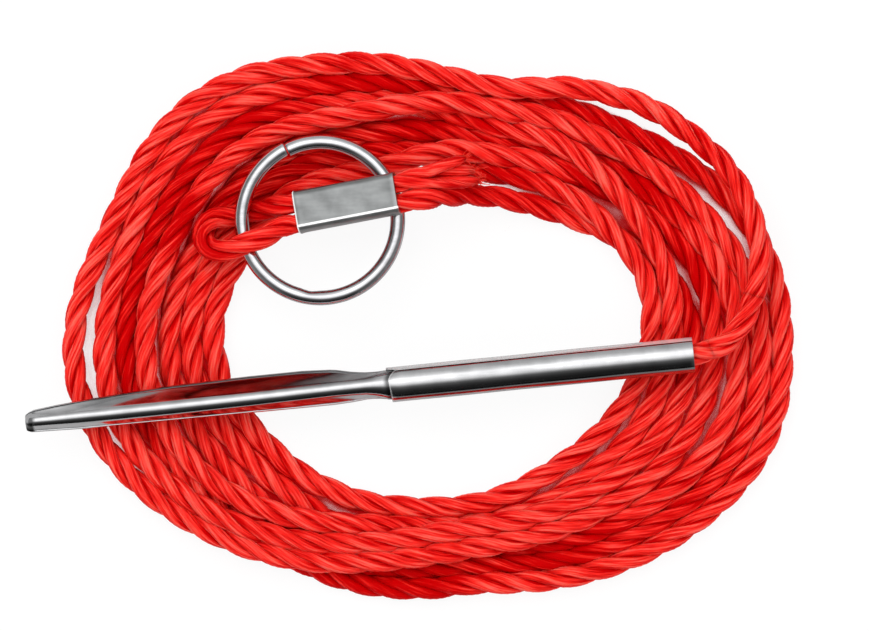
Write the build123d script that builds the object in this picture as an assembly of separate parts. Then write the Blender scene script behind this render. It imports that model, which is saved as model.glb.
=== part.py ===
"""Fish stringer: a coiled twisted cord with a split ring crimped to one end and a sheet needle on the other.

Millimetres. X runs along the needle's length towards its mouth, Y across, +Z up.
The origin is on the surface that the coil lies on, under the middle of the whole object.
"""
from build123d import *
from math import cos, degrees, radians, sin, tan
import os

# ---- driving dimensions ----
rope_d = 3.0                # three-strand cord over its strands
clearance = 0.3             # running gap between a piece and what it moves over

turn_rounding = 1.4         # rounded side of one layer of turns
stub_length = 6.0           # of each turn's end, run into the coil
full_turn = 360.0

ring_outer_d = 25.4
ring_wire_d = 2.2
ring_gap = 0.3              # butt gap where the ring is split
ring_gap_angle = 114.6      # place of the split, from +X
ring_x, ring_y = -13.2, 16.0

sleeve_length = 15.5
sleeve_width = 6.2
sleeve_height = 3.4
sleeve_wall = 0.5
sleeve_corner = 0.9         # outer radius of its folded edges
sleeve_seam = 0.3           # butt seam along the underside
sleeve_x, sleeve_y = -9.1, 18.5
sleeve_yaw = 10.6           # rises to the right
sleeve_pitch = 10.0         # its right end rides up on the ring
sleeve_roll = -6.0
exit_run = 3.0              # straight cord out of the sleeve's right end
eye_exit_run = 1.6          # and out of its left end, where the cord turns into the eye

needle_length = 100.0
needle_tube_d = 5.3
needle_tube_length = 46.6
needle_bore_d = 3.7
needle_flap_step = 0.35     # height of the rolled tube's outer edge
needle_flap_angle = 50.0    # place of that edge, from the top towards +Y
needle_flap_run = 60.0      # arc over which the outer layer dies away
needle_sheet = 0.5
needle_lip_edge = 0.65      # width of a lip's cut edge, measured level
needle_crest_r = 1.45       # outer radius of the front half's rounded crest
needle_crest_lift = 0.7     # height of the crest's centre above the tube's axis
needle_lip_spread = 2.5     # half width over the flared lips, at their widest
needle_lip_drop = 1.5       # from the crest's centre to the lips' edges
needle_front_spread = 2.2   # half width over the lips where the tip starts to narrow
needle_tip_length = 9.0     # stretch over which the front narrows to its blunt tip
needle_tip_crest_r = 0.95
needle_tip_lift = 0.5
needle_tip_spread = 1.3
needle_tip_drop = 1.1
needle_nose = 0.7           # thickness of the folded end that closes the tip
needle_lip_end = 7.2        # from the tube back to where the lips start to run out
needle_neck_length = 2.7    # bare neck between the lips and the tube
needle_neck_spread = 1.65
needle_neck_drop = 0.9
needle_neck_seat = 0.4      # of the neck, inside the tube
needle_x, needle_y = 42.3, -4.0
needle_yaw = 5.7
needle_pitch = 0.4          # tip lower than the mouth
needle_roll = 14.0          # turned about its length, so that its far lip lies higher
cord_in_needle = 18.0       # cord held in the tube
bend_offset = 2.4           # from the tube's mouth to the middle of the cord's bend

# ---- heights that follow from what lies on what ----
rope_r = rope_d / 2
coil_top = 2 * rope_d                           # the loose coil is two layers high
upper_middle = 1.5 * rope_d                     # height of a turn's middle in the upper layer
ring_wire_r = ring_wire_d / 2
ring_mean_r = ring_outer_d / 2 - ring_wire_r
eye_under_z = rope_d + 0.15 + rope_r            # the eye's lower leg lies on one layer of turns
ring_z = eye_under_z + rope_r + clearance + ring_wire_r
ring_top = ring_z + ring_wire_r
needle_z = (coil_top + clearance + needle_tube_d / 2       # its tube clears the coil at every swing
            + needle_tube_length * sin(radians(needle_pitch)))


def sleeve_centre_z():
    """The sleeve's height over the ring, which passes under its right end."""
    reach = ring_x + ring_mean_r - ring_wire_r - sleeve_x
    rise = reach * tan(radians(sleeve_pitch))
    rolled = sleeve_width / 2 * sin(radians(abs(sleeve_roll)))
    return ring_top + clearance + sleeve_height / 2 + rolled + 0.15 - rise


# ---- places ----
sleeve_place = (Pos(sleeve_x, sleeve_y, sleeve_centre_z())
                * Rot(0, 0, sleeve_yaw) * Rot(0, -sleeve_pitch, 0) * Rot(sleeve_roll, 0, 0))
needle_line = Pos(needle_x, needle_y, needle_z) * Rot(0, 0, needle_yaw) * Rot(0, -needle_pitch, 0)
needle_place = needle_line * Rot(needle_roll, 0, 0)
leg_offset = rope_r + 0.02                      # the two legs of the eye lie side by side
bend_centre = (needle_line * Pos(bend_offset, 0, 0)).position

# ---- the coil's outline, seen from above ----
coil_outside = [
    (-52.2, -2.6), (-50.7, 5.2), (-46.0, 15.6), (-41.2, 26.0), (-35.2, 33.4), (-26.1, 38.8),
    (-15.8, 41.1), (-5.0, 41.5), (4.7, 39.9), (15.6, 37.6), (24.2, 37.3), (27.8, 33.2),
    (36.4, 29.4), (44.2, 24.7), (49.4, 19.9), (54.0, 13.6), (57.0, 6.3), (57.5, -2.4),
    (56.5, -11.2), (54.0, -18.8), (49.4, -25.4), (42.8, -31.2), (33.5, -36.4), (22.4, -39.2),
    (11.0, -40.4), (-1.8, -41.7), (-13.4, -39.8), (-23.7, -35.2), (-34.4, -30.0), (-42.2, -23.8),
    (-47.9, -16.2), (-51.2, -9.8),
]
coil_inside = [
    (-25.4, 8.9), (-27.6, 3.0), (-27.4, -3.6), (-25.6, -9.5), (-22.4, -13.5), (-17.0, -19.4),
    (-8.2, -24.6), (3.2, -25.9), (13.0, -24.0), (21.4, -19.6), (28.8, -13.8), (33.4, -6.6),
    (35.0, 1.0), (33.8, 7.6), (28.6, 13.3), (20.1, 17.3), (10.4, 18.5), (-1.3, 17.2), (-16.2, 14.4),
    (-22.6, 12.2),
]
# the upper layer leaves room for the eye at the left and for the innermost turn beside the sleeve
upper_inside = [
    (-31.6, 4.2), (-27.5, -0.6), (-25.8, -9.3), (-22.4, -13.5), (-17.0, -19.4),
    (-8.2, -24.6), (3.2, -25.9), (13.0, -24.0), (21.4, -19.6), (28.8, -13.8), (33.4, -6.6),
    (35.0, 1.0), (33.8, 7.6), (28.6, 13.3), (21.4, 16.8), (16.6, 18.6), (14.4, 21.8), (8.0, 22.2),
    (-1.3, 21.8), (-16.2, 21.6), (-25.0, 21.9), (-33.6, 19.2), (-36.2, 12.4),
]

# ---- the cord's free stretches ----

def in_sleeve(along, across):
    """A point on one of the sleeve's two passages, measured from its middle."""
    return tuple((sleeve_place * Pos(along, across, 0)).position)


half_sleeve = sleeve_length / 2
tail_route = [
    in_sleeve(half_sleeve, leg_offset), in_sleeve(half_sleeve + exit_run, leg_offset),
    (4.6, 22.8, 10.4), (9.4, 23.6, 7.7),
]
eye_route = [
    in_sleeve(-half_sleeve, -leg_offset), in_sleeve(-half_sleeve - eye_exit_run, -leg_offset),
    (-21.6, 13.4, 10.8), (-25.6, 11.8, 10.9), (-29.2, 11.0, 9.0), (-31.0, 13.2, 6.8),
    (-29.6, 16.2, 5.0), (-26.2, 16.7, eye_under_z - 0.1), (-22.4, 17.5, eye_under_z - 0.1),
    in_sleeve(-half_sleeve - eye_exit_run, leg_offset), in_sleeve(-half_sleeve, leg_offset),
]
start_route = [
    in_sleeve(half_sleeve, -leg_offset), in_sleeve(half_sleeve + exit_run, -leg_offset),
    (5.2, 19.6, 9.4), (8.6, 19.8, 5.4), (13.4, 19.6, upper_middle),
]
lead_route = [
    (28.4, 35.3, upper_middle), (35.6, 33.3, upper_middle), (42.8, 28.6, 4.6), (48.8, 22.6, 6.8),
    (52.4, 13.6, 8.2), (52.0, 5.4, 7.7), (48.8, -1.2, 8.8),
]


# ---- cord helpers ----
def bend_radii(points, closed=False):
    """The largest radius that each corner's two runs allow."""
    corners = [Vector(*p) for p in points]
    count = len(corners)
    picked = range(count) if closed else range(1, count - 1)
    radii = []
    for i in picked:
        before = corners[i] - corners[i - 1]
        after = corners[(i + 1) % count] - corners[i]
        half_turn = radians(before.get_angle(after) / 2)
        radii.append(0.45 * min(before.length, after.length) / tan(half_turn))
    return radii


def cord_tube(label, points):
    """One free stretch of cord along straight runs joined by tangent arcs."""
    radii = bend_radii(points)
    path = FilletPolyline(*points, radius=radii)
    heading = Vector(*points[1]) - Vector(*points[0])
    face = Plane(origin=points[0], z_dir=heading) * Circle(rope_r)
    tube = sweep(face, path=path)
    expected = face.area * path.length
    print(label, "length", round(path.length, 1), "radii", [round(r, 1) for r in radii],
          "volume ratio", round(tube.volume / expected, 4))
    return tube


def turn_stub(place, next_place):
    """The end of a turn where it comes out of the coil, in line with the free cord's first run."""
    into_coil = Vector(*place) - Vector(*next_place)
    return extrude(Plane(origin=place, z_dir=into_coil) * Circle(rope_r), stub_length)


# ---- pieces ----
def make_ring():
    wire = Plane.XZ * Pos(ring_mean_r, 0, 0) * Circle(ring_wire_r)
    gap_turn = degrees(ring_gap / ring_mean_r)
    hoop = revolve(wire, axis=Axis.Z, revolution_arc=full_turn - gap_turn)
    return Pos(ring_x, ring_y, ring_z) * Rot(0, 0, ring_gap_angle + gap_turn / 2) * hoop


def sleeve_inside():
    return RectangleRounded(sleeve_width - 2 * sleeve_wall, sleeve_height - 2 * sleeve_wall,
                            sleeve_corner - sleeve_wall)


def make_sleeve():
    outer = RectangleRounded(sleeve_width, sleeve_height, sleeve_corner)
    seam = Pos(0, -sleeve_height / 2) * Rectangle(sleeve_seam, 2 * sleeve_wall)
    section = outer - sleeve_inside() - seam
    return sleeve_place * extrude(Plane.YZ * section, half_sleeve, both=True)


def make_crimped_cord():
    """The two passages of cord, squeezed to the inside of the sleeve."""
    return sleeve_place * extrude(Plane.YZ * sleeve_inside(), half_sleeve, both=True)


def on_circle(radius, angle):
    """A point of the tube's section, its angle measured from the top towards +Y."""
    return (radius * sin(radians(angle)), radius * cos(radians(angle)))


def make_needle_tube():
    """The rolled rear half: its outer edge lies over the sheet as a step along the far side."""
    outer_r = needle_tube_d / 2
    low_r = outer_r - needle_flap_step
    seam = needle_flap_angle + needle_roll
    fade = seam + needle_flap_run
    round_back = ThreePointArc(on_circle(outer_r, fade), on_circle(outer_r, (fade + seam + full_turn) / 2),
                               on_circle(outer_r, seam + full_turn))
    step = Line(on_circle(outer_r, seam), on_circle(low_r, seam))
    under = ThreePointArc(on_circle(low_r, seam),
                          on_circle((low_r + outer_r) / 2, seam + needle_flap_run / 2),
                          on_circle(outer_r, fade))
    section = make_face(Curve() + [round_back, step, under]) - Circle(needle_bore_d / 2)
    return Pos(-needle_tube_length, 0, 0) * extrude(Plane.YZ * section, needle_tube_length)


def across_needle(x):
    """The plane across the needle at a distance from its mouth, seen from the mouth."""
    return Plane(origin=(x, 0, 0), x_dir=(0, 1, 0), z_dir=(1, 0, 0))


def crest_outline(crest_r, lift, spread, drop):
    """A rounded crest with a straight side flared out from each end of it."""
    low = lift - drop
    return [
        Line((spread, low), (crest_r, lift)),
        ThreePointArc((crest_r, lift), (0, lift + crest_r), (-crest_r, lift)),
        Line((-crest_r, lift), (-spread, low)),
    ]


def channel_section(x, crest_r, lift, spread, drop):
    """The open sheet section of the front half."""
    low = lift - drop
    inner_spread = spread - needle_lip_edge
    ends = [Line((-spread, low), (-inner_spread, low)), Line((inner_spread, low), (spread, low))]
    outer = crest_outline(crest_r, lift, spread, drop)
    inner = crest_outline(crest_r - needle_sheet, lift, inner_spread, drop)
    return across_needle(x) * make_face(Curve() + (outer + inner + ends))


def make_needle_front():
    """The open channel, from its blunt tip to the neck that runs into the tube."""
    neck_r = needle_tube_d / 2 - needle_flap_step
    tip = (needle_tip_crest_r, needle_tip_lift, needle_tip_spread, needle_tip_drop)
    stations = [
        channel_section(-needle_length + needle_nose, *tip),
        channel_section(-needle_length + needle_tip_length, needle_crest_r, needle_crest_lift,
                        needle_front_spread, needle_lip_drop),
        channel_section(-needle_tube_length - needle_lip_end, needle_crest_r, needle_crest_lift,
                        needle_lip_spread, needle_lip_drop),
        channel_section(-needle_tube_length - needle_neck_length, needle_crest_r, needle_crest_lift,
                        needle_neck_spread, needle_lip_drop),
        channel_section(-needle_tube_length + needle_neck_seat, neck_r, 0, neck_r, needle_neck_drop),
    ]
    low = needle_tip_lift - needle_tip_drop
    closing = Line((-needle_tip_spread, low), (needle_tip_spread, low))
    nose_face = make_face(Curve() + (crest_outline(*tip) + [closing]))
    nose = extrude(across_needle(-needle_length) * nose_face, needle_nose)
    return loft(stations, ruled=True) + nose


def make_needle():
    return needle_place * (make_needle_front() + make_needle_tube())


def make_layer(outside, inside, bottom):
    """One layer of turns: a flat band with rounded sides."""
    band = (make_face(FilletPolyline(*outside, radius=bend_radii(outside, True), close=True))
            - make_face(FilletPolyline(*inside, radius=bend_radii(inside, True), close=True)))
    layer = extrude(band, rope_d)
    rims = layer.edges().filter_by(lambda edge: abs(edge.tangent_at(0.5).Z) < 0.01)
    rounding = min(turn_rounding, 0.47 * rope_d)
    return Pos(0, 0, bottom) * fillet(rims, rounding)


def make_coil():
    layers = make_layer(coil_outside, coil_inside, 0) + make_layer(coil_outside, upper_inside, rope_d)
    stubs = turn_stub(start_route[-1], start_route[-2]) + turn_stub(lead_route[0], lead_route[1])
    return layers + stubs


def make_cord_end():
    """The cord held in the needle's tube, out to the bend in front of its mouth."""
    return needle_line * Pos(-cord_in_needle, 0, 0) * extrude(
        Plane.YZ * Circle(rope_r), cord_in_needle + bend_offset - rope_r)


def make_lead():
    """The outermost turn, from the coil to the bend in front of the needle's mouth."""
    last = Vector(*lead_route[-1])
    meeting = bend_centre + (last - bend_centre).normalized() * rope_r
    return cord_tube("cord_lead", lead_route + [tuple(meeting)])


pieces = {
    "ring": make_ring(),
    "crimp_sleeve": make_sleeve(),
    "needle": make_needle(),
    "cord_coil": make_coil(),
    "cord_start": cord_tube("cord_start", start_route),
    "cord_crimped": make_crimped_cord(),
    "cord_eye": cord_tube("cord_eye", eye_route),
    "cord_tail": cord_tube("cord_tail", tail_route),
    "cord_lead": make_lead(),
    "cord_bend": Pos(*bend_centre) * Sphere(rope_r),
    "cord_end": make_cord_end(),
}

os.makedirs("parts", exist_ok=True)
for name, piece in pieces.items():
    export_step(piece, f"parts/{name}.step")
print("ring centre", ring_x, ring_y, round(ring_z, 3), "needle axis", round(needle_z, 3))
print("sleeve centre", round(sleeve_centre_z(), 3), "bend", bend_centre)
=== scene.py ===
from math import pi, radians

import bpy
import numpy as np
from mathutils import Matrix, Vector


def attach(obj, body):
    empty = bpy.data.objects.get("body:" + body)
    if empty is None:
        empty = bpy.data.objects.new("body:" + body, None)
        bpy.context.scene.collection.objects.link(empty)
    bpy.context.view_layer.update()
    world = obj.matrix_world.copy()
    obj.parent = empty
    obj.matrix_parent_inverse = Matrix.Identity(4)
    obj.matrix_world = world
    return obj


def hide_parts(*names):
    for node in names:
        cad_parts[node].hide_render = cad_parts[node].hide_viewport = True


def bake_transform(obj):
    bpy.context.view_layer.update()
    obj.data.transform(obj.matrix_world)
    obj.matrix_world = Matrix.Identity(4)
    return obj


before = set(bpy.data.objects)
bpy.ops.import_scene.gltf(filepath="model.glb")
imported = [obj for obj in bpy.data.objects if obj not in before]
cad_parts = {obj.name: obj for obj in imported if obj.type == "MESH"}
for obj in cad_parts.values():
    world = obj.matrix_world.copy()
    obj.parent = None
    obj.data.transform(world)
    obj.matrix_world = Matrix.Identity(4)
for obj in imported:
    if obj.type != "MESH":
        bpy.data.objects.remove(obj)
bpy.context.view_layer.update()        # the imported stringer: ring, sleeve, needle and the cord's plain solids
mm = 0.001
print("frame loaded, pieces:", sorted(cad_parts))


def clearSelection():
    if bpy.context.object and bpy.context.object.mode != "OBJECT":
        bpy.ops.object.mode_set(mode="OBJECT")
    bpy.ops.object.select_all(action="DESELECT")


def pick(piece):
    clearSelection()
    piece.select_set(True)
    bpy.context.view_layer.objects.active = piece
    return piece


# photograph: looks straight down, 6.7 pixels to a millimetre
cameraSettings = {
    "width": 869, "height": 631, "pixelsPerMm": 6.7, "originPixel": (408.6, 327.5), "distance": 0.9,
    "sensor": 36, "coilTop": 0.005, "nearest": 0.01,
}


def makeCamera():
    s = cameraSettings
    x = (s["width"] / 2 - s["originPixel"][0]) / s["pixelsPerMm"] * mm
    y = (s["originPixel"][1] - s["height"] / 2) / s["pixelsPerMm"] * mm
    bpy.ops.object.camera_add(location=(x, y, s["distance"]), rotation=(0, 0, 0))
    camera = bpy.context.object
    camera.data.sensor_width = s["sensor"]
    across = s["width"] / s["pixelsPerMm"] * mm
    camera.data.lens = s["sensor"] * (s["distance"] - s["coilTop"]) / across
    camera.data.clip_start = s["nearest"]
    bpy.context.scene.camera = camera
    print("camera: lens", round(camera.data.lens, 1))


makeCamera()

# the cord's route, the same points as in the part's source, in millimetres
cordSettings = {
    "diameter": 3.0,
    "sleeveCentre": (-9.1, 18.5, 9.996), "sleeveTurn": (10.6, 10.0, -6.0), "sleeveHalf": 7.75,
    "legOffset": 1.52, "coilSideRun": 3.0, "eyeSideRun": 1.6,
    "needleMouth": (42.3, -4.0, 9.275), "needleTurn": (5.7, 0.4), "bendOffset": 2.4, "inNeedle": 18.0,
    "routeOrder": 3, "routeResolution": 8, "step": 0.9,      # the step is that of the strands' rings
}


def sleevePlace():
    yaw, pitch, roll = (radians(a) for a in cordSettings["sleeveTurn"])
    turn = Matrix.Rotation(yaw, 4, "Z") @ Matrix.Rotation(-pitch, 4, "Y") @ Matrix.Rotation(roll, 4, "X")
    return Matrix.Translation(cordSettings["sleeveCentre"]) @ turn


def inSleeve(along, across):
    return tuple(sleevePlace() @ Vector((along, across, 0)))


def needlePlace():
    yaw, pitch = (radians(a) for a in cordSettings["needleTurn"])
    turn = Matrix.Rotation(yaw, 4, "Z") @ Matrix.Rotation(-pitch, 4, "Y")
    return Matrix.Translation(cordSettings["needleMouth"]) @ turn


def onNeedleLine(along):
    return tuple(needlePlace() @ Vector((along, 0, 0)))


halfSleeve = cordSettings["sleeveHalf"]
legOffset = cordSettings["legOffset"]
beyondCoilMouth = halfSleeve + cordSettings["coilSideRun"]
beyondEyeMouth = -halfSleeve - cordSettings["eyeSideRun"]
# the route's other points are given in millimetres
tailPoints = [(9.4, 23.6, 7.7), (4.6, 22.8, 10.4), inSleeve(beyondCoilMouth, legOffset)]
eyePoints = [
    inSleeve(halfSleeve, legOffset), inSleeve(0, legOffset), inSleeve(-halfSleeve, legOffset),
    inSleeve(beyondEyeMouth, legOffset), (-22.4, 17.5, 4.55), (-26.2, 16.7, 4.55), (-29.6, 16.2, 5.0),
    (-31.0, 13.2, 6.8), (-29.2, 11.0, 9.0), (-25.6, 11.8, 10.9), (-21.6, 13.4, 10.8),
    inSleeve(beyondEyeMouth, -legOffset), inSleeve(-halfSleeve, -legOffset), inSleeve(0, -legOffset),
]
startPoints = [
    inSleeve(halfSleeve, -legOffset), inSleeve(beyondCoilMouth, -legOffset),
    (5.2, 19.6, 9.4), (8.6, 19.8, 5.4), (13.4, 19.6, 4.5),
]
leadPoints = [
    (28.4, 35.3, 4.5), (35.6, 33.3, 4.5), (42.8, 28.6, 4.6), (48.8, 22.6, 6.8),
    (52.4, 13.6, 8.2), (52.0, 5.4, 7.7), (48.8, -1.2, 8.8),
]
needlePoints = [onNeedleLine(a) for a in (cordSettings["bendOffset"], -3, -10, -cordSettings["inNeedle"])]

# the coil: its outline as in the part's source, and each turn's lane from the inner rim (0) to the outer (1)
# with its height, from the lower layer (0) to the upper (1), every 20 degrees clockwise from 80 degrees
coilSettings = {
    "centre": (3.0, 0.0), "firstAngle": 80, "stationAngle": 20, "pointAngle": 5,
    "lower": 1.5, "upper": 4.45, "spacing": 3.02, "rounds": 200, "push": 0.25, "leastGap": 0.05, "keep": 0.99,
    "rimSmoothing": 2, "laneSmoothing": 5, "heightSmoothing": 2, "joinReach": 6.0,
    "outside": [
        (-52.0, -2.6), (-50.5, 5.2), (-45.4, 15.4), (-41.0, 25.9), (-35.2, 33.4), (-26.1, 38.8),
        (-15.2, 40.2), (-4.9, 40.9), (4.5, 38.8), (15.1, 36.1), (24.4, 37.3), (36.4, 33.2),
        (44.9, 28.7), (50.1, 22.9), (54.6, 15.8), (57.4, 6.3), (57.4, -2.4),
        (57.0, -11.3), (54.5, -19.0), (49.4, -25.4), (42.3, -30.8), (32.9, -35.7), (21.9, -38.0),
        (10.4, -37.8), (-1.6, -40.2), (-13.3, -39.3), (-24.0, -35.6), (-34.4, -30.0), (-42.4, -23.9),
        (-48.5, -16.4), (-51.4, -9.8)],
    "inside": [
        (-24.5, 8.7), (-27.6, 3.0), (-27.7, -3.6), (-26.0, -9.7), (-22.6, -13.6), (-17.1, -19.5),
        (-8.2, -24.4), (3.2, -26.1), (13.1, -24.3), (21.4, -19.6), (28.8, -13.8), (33.4, -6.6),
        (35.0, 1.0), (33.9, 7.7), (27.5, 12.7), (19.5, 16.5), (10.2, 17.6), (-1.1, 16.5), (-15.8, 14.0),
        (-21.8, 11.8)],
    # one list to a turn, from 80 degrees clockwise to -260, and the last turn's two stations
    "turns": [
        [(.03, 1), (.00, .8), (.00, .1), (.10, 0), (.33, 0), (.34, .4), (.35, .8), (.36, 1), (.34, 1),
         (.36, 1), (.64, 1), (.83, 1), (.82, 1), (.755, .4), (.85, .5), (.865, .5), (.85, .5), (.87, .1)],
        [(.90, 0), (.86, 0), (.765, 0), (.92, 0), (1.0, 0), (1.0, 0), (1.0, .2), (1.0, .2), (1.0, 0),
         (.96, 0), (.82, 0), (.68, 0), (.635, 0), (.62, .3), (.69, .6), (.725, .8), (.72, .9), (.77, .6)],
        [(.74, 0), (.60, 1), (.40, 1), (.20, 1), (.15, .9), (.17, .2), (.21, 0), (.26, 0), (.30, 0),
         (.19, 1), (.38, 1), (.60, 1), (.52, 1), (.465, .9), (.53, 1), (.60, 1), (.59, 1), (.665, 1)],
        [(.80, 1), (.67, .8), (.61, .5), (.645, .2), (.84, 0), (.85, 0), (.84, .1), (.82, 0), (.80, 0),
         (.72, 0), (.54, 0), (.40, 0), (.34, 0), (.31, 0), (.345, 0), (.47, 0), (.46, 0), (.54, 0)],
        [(.60, 0), (.52, 0), (.48, 0), (.52, .2), (.67, .4), (.695, 1), (.69, 1), (.68, 1), (.66, .9),
         (.48, .2), (.24, 0), (.19, 0), (.17, 0), (.155, 0), (.17, 0), (.345, 0), (.335, 0), (.41, 0)],
        [(.31, 0), (.21, .2), (.17, .4), (.02, .4), (.00, 0), (.00, 0), (.00, 0), (.00, 0), (.00, 0),
         (.00, 0), (.00, 0), (.00, 0), (.00, 0), (.00, 0), (.00, 0), (.22, 0), (.21, 0), (.28, .7)],
        [(.46, .9), (.38, .5), (.34, .1), (.38, 0), (.49, .1), (.51, .1), (.51, 0), (.52, .4), (.54, 1),
         (.56, 1), (.84, 1), (.97, 1), (.99, .5), (1.0, 0), (1.0, 0), (1.0, 0), (1.0, 0), (1.0, .6)],
        [(1.0, 1), (1.0, 1)]],
}


def rimRadius(rim, angles):
    # distance from the coil's centre to one rim at each angle
    middle = np.array(coilSettings["centre"])
    points = np.array(rim) - middle
    around = np.degrees(np.arctan2(points[:, 1], points[:, 0])) % 360
    order = np.argsort(around)
    away = np.hypot(points[:, 0], points[:, 1])[order]
    return np.interp(np.asarray(angles) % 360, around[order], away, period=360)


def smoothed(values, times):
    for _ in range(times):
        values[1:-1] = 0.5 * values[1:-1] + 0.25 * (values[:-2] + values[2:])
    return values


def makeTurns():
    s = coilSettings
    stations = np.array(sum(s["turns"], []), float)
    perStation = s["stationAngle"] // s["pointAngle"]
    at = np.arange(0, (len(stations) - 1) * perStation + 1) / perStation
    lane = np.interp(at, np.arange(len(stations)), stations[:, 0])
    height = np.interp(at, np.arange(len(stations)), stations[:, 1])
    angles = s["firstAngle"] - at * s["stationAngle"]
    radius = cordSettings["diameter"] / 2
    inner = smoothed(rimRadius(s["inside"], angles) + radius, s["rimSmoothing"])
    outer = smoothed(rimRadius(s["outside"], angles) - radius, s["rimSmoothing"])
    away = inner + smoothed(lane, s["laneSmoothing"]) * (outer - inner)
    level = smoothed(s["lower"] + height * (s["upper"] - s["lower"]), s["heightSmoothing"])
    wanted = away.copy()
    perTurn = 360 // s["pointAngle"]
    count = len(away)
    for _ in range(s["rounds"]):
        # turns that would lie in each other are pushed apart, across the coil and up or down
        for turnsApart in range(1, len(s["turns"])):
            low, high = np.arange(0, count - perTurn * turnsApart), np.arange(perTurn * turnsApart, count)
            dr, dz = away[high] - away[low], level[high] - level[low]
            gap = np.hypot(dr, dz)
            push = np.clip(s["spacing"] - gap, 0, None) / np.maximum(gap, s["leastGap"]) * s["push"]
            away[low] -= push * dr
            away[high] += push * dr
            level[low] -= push * dz
            level[high] += push * dz
        away = wanted + s["keep"] * smoothed(away - wanted, 1)
        level = np.clip(smoothed(level, 1), s["lower"], s["upper"])
    x = s["centre"][0] + away * np.cos(np.radians(angles))
    y = s["centre"][1] + away * np.sin(np.radians(angles))
    points = np.stack([x, y, level], axis=1)
    # the first turn comes down from the sleeve, so its points beside that stretch are left out
    apart = np.hypot(*(points[:perTurn // 2, :2] - startPoints[-1][:2]).T)
    near = np.flatnonzero(apart < s["joinReach"])
    first = near[-1] + 1 if len(near) else 0
    return [tuple(p) for p in points[first:]]


turnPoints = makeTurns()
cordPoints = tailPoints + eyePoints + startPoints + turnPoints + leadPoints + needlePoints
print("cord: turns of", len(turnPoints), "points")


def cordLine(points):
    curve = bpy.data.curves.new("cordRoute", "CURVE")
    curve.dimensions = "3D"
    spline = curve.splines.new("NURBS")
    spline.points.add(len(points) - 1)
    for point, place in zip(spline.points, points):
        point.co = (*(c * mm for c in place), 1)
    spline.order_u = cordSettings["routeOrder"]
    spline.use_endpoint_u = True
    spline.resolution_u = cordSettings["routeResolution"]
    holder = bpy.data.objects.new("cordRoute", curve)
    mesh = bpy.data.meshes.new_from_object(holder)
    line = np.array([v.co for v in mesh.vertices], float)
    bpy.data.meshes.remove(mesh)
    bpy.data.curves.remove(curve)
    return line


line = cordLine(cordPoints)

# three strands laid up right-handed; a strand's section is rounder outside and flat where it meets the others
strandSettings = {
    "count": 3, "layLength": 15.6, "helixRadius": 0.90, "strandRadius": 0.85, "strandWiden": 1.16,
    "sectionAngles": [-150, -112, -80, -52, -26, 0, 26, 52, 80, 112, 150],
    "layJitter": 0.35, "layWave": 60, "laySeed": 10, "swell": 0.03, "swellWave": 9, "swellSeed": 20,
    "squeezeAcross": 0.86, "squeezeUp": 0.76, "squeezeRun": 2.5, "squeezeWidth": 3.2, "squeezeHeight": 1.6,
    "cutEndLength": 16.2,       # the loose end is a piece of its own, up to inside the sleeve
    "splayLength": 8.1, "splayEnds": [(10.5, 21.9, 8.6), (8.3, 25.1, 9.6), (9.7, 23.4, 9.0)],
    "splayLead": 0.25, "tipTaper": 0.45, "tipFrom": 0.85, "tipRun": 0.15,
    "bendRun": 11.0,
}


def evenLine(points, step):
    along = np.concatenate([[0], np.cumsum(np.linalg.norm(np.diff(points, axis=0), axis=1))])
    at = np.linspace(0, along[-1], int(round(along[-1] / step)) + 1)
    return np.stack([np.interp(at, along, points[:, k]) for k in range(3)], axis=1), at


def slowNoise(values, wave, seed):
    # a smooth random curve between -1 and 1 along the cord
    random = np.random.default_rng(seed)
    knots = random.uniform(-1, 1, int(values[-1] / wave) + 3)
    at = values / wave
    low = np.floor(at).astype(int)
    t = at - low
    t = t * t * (3 - 2 * t)
    return knots[low] * (1 - t) + knots[low + 1] * t


def carriedFrames(points):
    # a pair of directions across the cord that never spins about it
    tangents = np.gradient(points, axis=0)
    tangents /= np.linalg.norm(tangents, axis=1)[:, None]
    across = np.zeros_like(points)
    first = np.cross(tangents[0], (0, 0, 1))
    across[0] = first / np.linalg.norm(first)
    for i in range(1, len(points)):
        a = across[i - 1] - tangents[i] * np.dot(across[i - 1], tangents[i])
        across[i] = a / np.linalg.norm(a)
    return across, np.cross(tangents, across)


centres, along = evenLine(line, cordSettings["step"] * mm)
along = along / mm
sideways, upwards = carriedFrames(centres)
sleeveFrame = sleevePlace()


def squeezeShare(points):
    # 1 inside the sleeve, fading to 0 outside its ends
    s = strandSettings
    local = np.array(sleeveFrame.inverted().to_3x3()) @ (points / mm - np.array(sleeveFrame.translation)).T
    beyond = np.abs(local[0]) - cordSettings["sleeveHalf"]
    close = (np.abs(local[1]) < s["squeezeWidth"]) & (np.abs(local[2]) < s["squeezeHeight"])
    return np.clip(1 - beyond / s["squeezeRun"], 0, 1) * close


squeezed = squeezeShare(centres)
splayRow = int(strandSettings["splayLength"] / cordSettings["step"])
cutRow = int(strandSettings["cutEndLength"] / cordSettings["step"])

# where a turn lies in a trench between higher turns, which the cord's colour darkens as painted shade
trenchSettings = {
    "reach": 5.5, "fade": 6.5, "above": 1.0, "straightAbove": 0.8, "fullDepth": 2.2, "blur": 7.0,
}


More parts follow.
